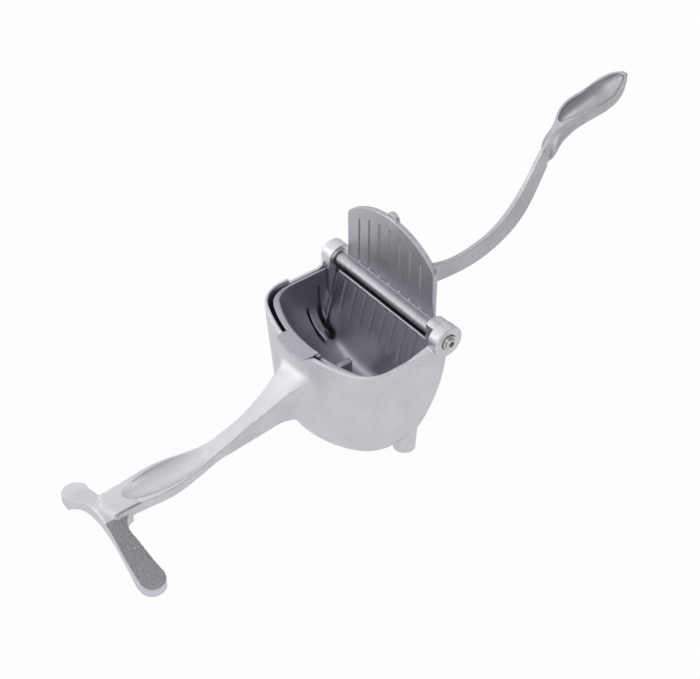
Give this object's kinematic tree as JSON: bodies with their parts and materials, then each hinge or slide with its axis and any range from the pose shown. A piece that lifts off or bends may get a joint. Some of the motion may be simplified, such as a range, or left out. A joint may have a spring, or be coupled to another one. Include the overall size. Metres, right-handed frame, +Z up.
{
  "type": "hinged lemon squeezer",
  "caption": "Cast aluminium hinged lemon squeezer: a grooved press plate on a lever swings into a strainer cup that hangs in a footed pot with a handle and pouring lip.",
  "frame": {"origin": "on the bench, straight below the middle of the hinge pin", "axes": "+Z up from the bench, +X from the hinge towards the open press lever, +Y along the hinge pin towards the plain ear; the holding handle points along -X"},
  "size_m": [0.3026, 0.0869, 0.1248],
  "materials": {
    "cast_aluminium": "brushed and lightly polished casting",
    "cup_aluminium": "satin casting",
    "arm_aluminium": "polished casting",
    "screw_steel": "bright turned steel",
    "washer_steel": "bright steel",
    "nut_steel": "bright steel"
  },
  "bodies": {
    "pot": {"pot_casting": "cast_aluminium", "hinge_screw": "screw_steel", "hinge_washer": "washer_steel", "hinge_nut": "nut_steel"},
    "cup": {"strainer_cup": "cup_aluminium"},
    "press": {"press_arm": "arm_aluminium"}
  },
  "joints": [
    {"name": "press_hinge", "type": "hinge", "parent": "pot", "child": "press", "pos_m": [0, 0, 0.0641], "axis": [0, -1, 0], "range_deg": [0, 140]},
    {"name": "cup_lift", "type": "slide", "parent": "pot", "child": "cup", "axis": [-0.4226, 0, 0.9063], "range_m": [0, 0.115]}
  ]
}
